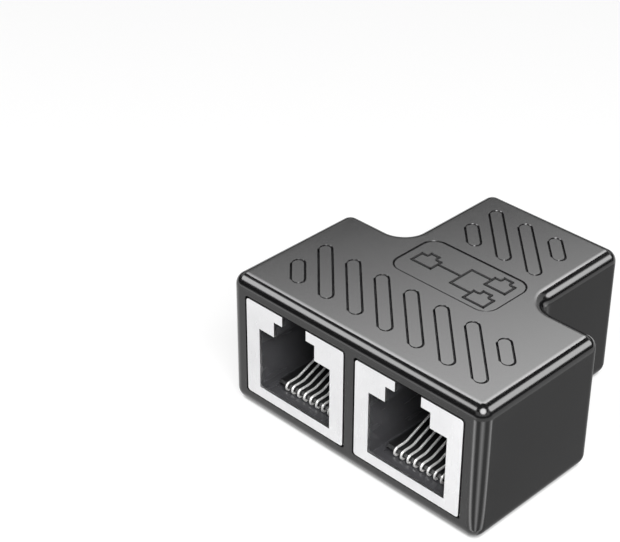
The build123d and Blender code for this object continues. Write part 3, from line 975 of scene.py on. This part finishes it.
@dataclass
class Studio:
    """Floor, lamps, cards, flags and camera round the object, in the photograph's frame."""

    camera_place: Vector = field(default_factory=lambda: Vector((106.07, -131.35, 126.22)) * MM)
    camera_target: Vector = field(default_factory=lambda: Vector((-23.13, -1.63, 9.10)) * MM)
    camera_roll: float = math.radians(0.105)
    lens: float = 97.80
    sensor: float = 36.0
    clip_start: float = 5 * MM
    ambient: float = 0.25
    floor_side: float = 6.0
    floor_white: float = 0.30
    floor_glow: float = 0.74
    contact_shadow: float = 0.4 * MM
    shadow_samples: int = 8
    lamps: tuple[SoftBox, ...] = (
        SoftBox("key_box", 320, 44, (0.14, 0.14), 14, reach=0.30),
        SoftBox("left_box", 214, 41, (0.10, 0.10), 6, reach=0.30),
        SoftBox("right_box", 46, 34, (0.10, 0.10), 6, reach=0.30))
    soft_cards: tuple[SoftBox, ...] = (
        SoftBox("left_card", 218, 42, (0.22, 0.14), 9.8),
        SoftBox("right_card", 46, 33, (0.17, 0.175), 8.9),
        SoftBox("key_card", 322, 52, (0.25, 0.25), 16.5))
    soft_edge: float = 0.3
    back_card: SoftBox = SoftBox("back_card", 132, 44, (0.27, 0.185), 13.2, reach=0.32,
                                 turn=math.radians(-10.4))
    back_fade: tuple[float, float] = (-0.080, 0.080)
    flag_foot: float = 0.01
    horizon_reach: float = 0.50
    horizon_height: float = 0.14
    side_flags: tuple[tuple[str, float], ...] = (("left_flag", 192), ("right_flag", 12))
    side_flag_reach: float = 0.48
    side_flag_top: float = 0.26
    side_flag_angle: float = math.radians(66)
    side_flag_steps: int = 16
    overhead_reach: float = 0.60
    overhead_height: float = 0.50
    ring_sides: int = 48
    fan_reach: float = 30 * MM
    fan_lift: float = 0.02 * MM
    fan_start: float = math.radians(228)
    fan_angle: float = math.radians(180)
    fan_steps: int = 36
    fan_merge: float = 0.001 * MM
    fan_strength: float = 5.5
    fan_rays: tuple[tuple[float, float], ...] = (
        (228, 0.18), (242, 0.26), (253, 1.0), (274, 0.10), (298, 0.10), (322, 0.72), (347, 0.10), (14, 0.10),
        (38, 0.66), (48, 0.1))
    floor_card_lift: float = 0.01 * MM
    grey_level: float = 0.42
    grey_reach: float = 16.5 * MM
    grey_tuck: float = 12 * MM
    grey_setback: float = 1 * MM
    grey_length: float = 66 * MM
    front_strips: tuple[tuple[str, float, float, float], ...] = (
        ("front_card", 1.3, 22.5 * MM, 55 * MM), ("far_card", 2.5, 55 * MM, 160 * MM))

    def build(self) -> None:
        """Set up the whole studio."""
        self.build_camera()
        self.build_world()
        self.build_floor()
        for lamp in self.lamps:
            self.hang_lamp(lamp)
        self.build_flags()
        self.build_corner_fan()
        self.build_back_card()
        self.build_floor_cards()
        for card in self.soft_cards:
            self.build_soft_card(card)
        bpy.context.scene.view_settings.view_transform = "Standard"

    def build_camera(self) -> None:
        """Make the camera at the photograph's place and make it the scene's."""
        camera = bpy.data.objects.new("photo_camera", bpy.data.cameras.new("photo_camera"))
        camera.data.lens = self.lens
        camera.data.sensor_width = self.sensor
        camera.data.clip_start = self.clip_start
        aim = (self.camera_target - self.camera_place).to_track_quat("-Z", "Y").to_matrix().to_4x4()
        roll = Matrix.Rotation(self.camera_roll, 4, "Z")
        camera.matrix_world = Matrix.Translation(self.camera_place) @ aim @ roll
        bpy.context.scene.collection.objects.link(camera)
        bpy.context.scene.camera = camera

    def build_world(self) -> None:
        """Make a world that is white where it is seen or mirrored and dimmer as light."""
        tree = ShaderTree("white_sweep", is_world=True)
        mix = tree.add("MixShader")
        tree.link(tree.seen_share(), mix.inputs["Fac"])
        for number, level in ((1, self.ambient), (2, 1.0)):
            light = tree.add("Background")
            light.inputs["Color"].default_value = (1, 1, 1, 1)
            light.inputs["Strength"].default_value = level
            tree.link(light.outputs["Background"], mix.inputs[number])
        bpy.context.scene.world = tree.finish(mix)

    def build_floor(self) -> None:
        """Make the pale floor: part of its white is its own glow, so shadows on it stay light; that glow is
        darkened by occlusion close to the object, a painted contact shadow.
        """
        tree = ShaderTree("white_floor")
        diffuse = tree.add("BsdfDiffuse")
        diffuse.inputs["Color"].default_value = (*[self.floor_white] * 3, 1)
        # The floor's glow is dimmed by occlusion near the object: a painted contact shadow.
        contact = tree.add("AmbientOcclusion", samples=self.shadow_samples)
        contact.inputs["Distance"].default_value = self.contact_shadow
        open_share = tree.multiply(contact.outputs["AO"], tree.seen_share())
        glow = tree.glow(tree.multiply(open_share, self.floor_glow))
        both = tree.add("AddShader")
        for number, shader in enumerate((diffuse, glow)):
            tree.link(shader.outputs[0], both.inputs[number])
        floor = draw_card(Vector((self.floor_side, self.floor_side)))
        stage_mesh(floor, "studio_floor", tree.finish(both), Matrix.Identity(4), is_seen=True)

    def hang_lamp(self, box: SoftBox) -> None:
        """Hang one rectangular lamp.

        Args:
            box: Its place, size and brightness.
        """
        data = bpy.data.lights.new(box.name, "AREA")
        data.shape = "RECTANGLE"
        data.size, data.size_y = box.size
        data.energy = box.level * math.pi * box.size[0] * box.size[1]
        lamp = bpy.data.objects.new(box.name, data)
        lamp.location = box.place
        lamp.rotation_euler = (OBJECT_MIDDLE - box.place).to_track_quat("-Z", "Y").to_euler()
        bpy.context.scene.collection.objects.link(lamp)

    def build_flags(self) -> None:
        """Stand the dark flags round and above the object."""
        tree = ShaderTree("black_flag")
        dark = tree.add("BsdfDiffuse")
        dark.inputs["Color"].default_value = (0, 0, 0, 1)
        material = tree.finish(dark)
        ring = bmesh.new()
        bmesh.ops.create_circle(ring, cap_ends=False, segments=self.ring_sides, radius=self.horizon_reach)
        pull_edges(ring, ring.edges[:], Vector((0, 0, self.horizon_height)))
        stage_mesh(ring, "horizon_flag", material, Matrix.Translation(Vector((0, 0, self.flag_foot))))
        for name, bearing in self.side_flags:
            flag = bmesh.new()
            start = Matrix.Rotation(math.radians(bearing), 4, "Z") @ Vector((self.side_flag_reach, 0, 0))
            side = flag.edges.new([flag.verts.new(start + Vector((0, 0, height)))
                                   for height in (self.flag_foot, self.side_flag_top)])
            bmesh.ops.spin(flag, geom=[*side.verts, side], cent=(0, 0, 0), axis=(0, 0, 1),
                           angle=self.side_flag_angle, steps=self.side_flag_steps)
            stage_mesh(flag, name, material, Matrix.Identity(4))
        disc = bmesh.new()
        bmesh.ops.create_circle(disc, cap_ends=True, segments=self.ring_sides, radius=self.overhead_reach)
        stage_mesh(disc, "overhead_flag", material, Matrix.Translation(Vector((0, 0, self.overhead_height))))

    def build_corner_fan(self) -> None:
        """Lay the fan of light and dark rays that the upright front corner mirrors."""
        low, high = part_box("lower_shell")
        tree = ShaderTree("fan_of_rays")
        turn = tree.add("TexGradient", gradient_type="RADIAL")
        tree.link(tree.object_place(), turn.inputs["Vector"])
        ramp = tree.add("ValToRGB")
        while len(ramp.color_ramp.elements) < len(self.fan_rays):
            ramp.color_ramp.elements.new(0.5)
        for element, (bearing, level) in zip(ramp.color_ramp.elements, self.fan_rays):
            element.position = (bearing + 180) % 360 / 360
            element.color = (level, level, level, 1)
        tree.link(turn.outputs["Fac"], ramp.inputs["Fac"])
        glow = tree.glow(self.fan_strength)
        tree.link(ramp.outputs["Color"], glow.inputs["Color"])
        fan = bmesh.new()
        start = Matrix.Rotation(self.fan_start, 4, "Z") @ Vector((self.fan_reach, 0, 0))
        ray = fan.edges.new((fan.verts.new((0, 0, 0)), fan.verts.new(start)))
        bmesh.ops.spin(fan, geom=[*ray.verts, ray], cent=(0, 0, 0), axis=(0, 0, 1),
                       angle=self.fan_angle, steps=self.fan_steps)
        bmesh.ops.remove_doubles(fan, verts=fan.verts, dist=self.fan_merge)
        place = Matrix.Translation(Vector((high.x, low.y, self.fan_lift)))
        stage_mesh(fan, "corner_fan", tree.finish(glow), place)

    def build_back_card(self) -> None:
        """Hang the card behind the object, bright at its top, that the top face mirrors."""
        tree = ShaderTree("graded_card")
        point = tree.add("SeparateXYZ")
        tree.link(tree.object_place(), point.inputs["Vector"])
        level = tree.spread(point.outputs["Y"], 0, self.back_card.level, *self.back_fade)
        hang_card(self.back_card, tree.finish(tree.glow(level)))

    def build_soft_card(self, box: SoftBox) -> None:
        """Hang a round soft box, which fades at its edge.

        Args:
            box: Its place, size and brightness.
        """
        tree = ShaderTree(box.name)
        fade = tree.add("TexGradient", gradient_type="SPHERICAL")
        tree.link(tree.object_place((2 / box.size[0], 2 / box.size[1], 1)), fade.inputs["Vector"])
        level = tree.spread(fade.outputs["Fac"], 0, box.level, 0.0, self.soft_edge)
        hang_card(box, tree.finish(tree.glow(level)))

    def build_floor_cards(self) -> None:
        """Lay the grey card beside the right-hand face and the bright ones before the front."""
        low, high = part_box("lower_shell")
        start = Vector((high.x - self.grey_tuck, low.y + self.grey_setback, 0))
        end = Vector((high.x + self.grey_reach, low.y + self.grey_length, 0))
        self.lay_card("side_card", self.grey_level, start, end)
        for name, level, near, far in self.front_strips:
            start, end = Vector((low.x - far, low.y - far, 0)), Vector((high.x, low.y - near, 0))
            self.lay_card(name, level, start, end)

    def lay_card(self, name: str, level: float, start: Vector, end: Vector) -> None:
        """Lay one card of a plain brightness on the floor.

        Args:
            name: Name of the card.
            level: How bright it is, where 1 is white.
            start: Its corner with the lowest x and y.
            end: Its corner with the highest x and y.
        """
        tree = ShaderTree(name)
        place = (start + end) / 2 + Vector((0, 0, self.floor_card_lift))
        material = tree.finish(tree.glow(level))
        stage_mesh(draw_card((end - start).xy), name, material, Matrix.Translation(place))


def stage_mesh(work: bmesh.types.BMesh, name: str, material: bpy.types.Material, matrix: Matrix,
               is_seen: bool = False) -> None:
    """Stage a mesh that isn't a piece of the part.

    Args:
        work: The mesh.
        name: Name of the staged thing.
        material: Its material.
        matrix: Its place.
        is_seen: Whether every ray sees it, and not only the glossy ones.
    """
    stage = link_mesh(work, name, material)
    stage.matrix_world = matrix
    stage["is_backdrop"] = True
    if not is_seen:
        for ray in ("camera", "diffuse", "shadow", "transmission", "volume_scatter"):
            setattr(stage, f"visible_{ray}", False)
    LOG.info("%s staged", name)


def draw_card(size: Vector) -> bmesh.types.BMesh:
    """Draw a flat card.

    Args:
        size: Its width and height.

    Returns:
        The flat mesh, with its middle at the origin.
    """
    card = bmesh.new()
    bmesh.ops.create_grid(card, x_segments=1, y_segments=1, size=0.5)
    bmesh.ops.scale(card, vec=Vector((*size, 1)), verts=card.verts)
    return card


def hang_card(box: SoftBox, material: bpy.types.Material) -> None:
    """Hang a card that only gloss mirrors.

    Args:
        box: Its place, size and turn in its own plane.
        material: Its glow.
    """
    facing = (OBJECT_MIDDLE - box.place).to_track_quat("Z", "Y").to_matrix().to_4x4()
    matrix = Matrix.Translation(box.place) @ facing @ Matrix.Rotation(box.turn, 4, "Z")
    stage_mesh(draw_card(Vector(box.size)), box.name, material, matrix)


def main() -> None:
    """Build the looks of every piece, then the studio round them."""
    logging.basicConfig(level=logging.INFO, format="%(name)s %(message)s")
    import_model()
    cad_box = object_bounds()
    case_plastic = CaseFinish(top_height=cad_box[1].z).build()
    nickel = NickelFinish().build()
    # Socket body plastic, its colour lightened as painted light inside the sockets.
    socket_plastic = LIGHTENED_SOCKET_PLASTIC.build()
    carrier_plastic = CARRIER_PLASTIC.build()
    contact_wire = CONTACT_WIRE.build()
    CaseShells(case_plastic).build()
    LabelSign(MATT_SIGN.build()).build()
    for port in Port:
        SocketUnit(port, nickel, socket_plastic, carrier_plastic, contact_wire).build()
    dress_node("circuit_board", BoardFinish().build())
    Studio().build()


if __name__ == "__main__":
    main()
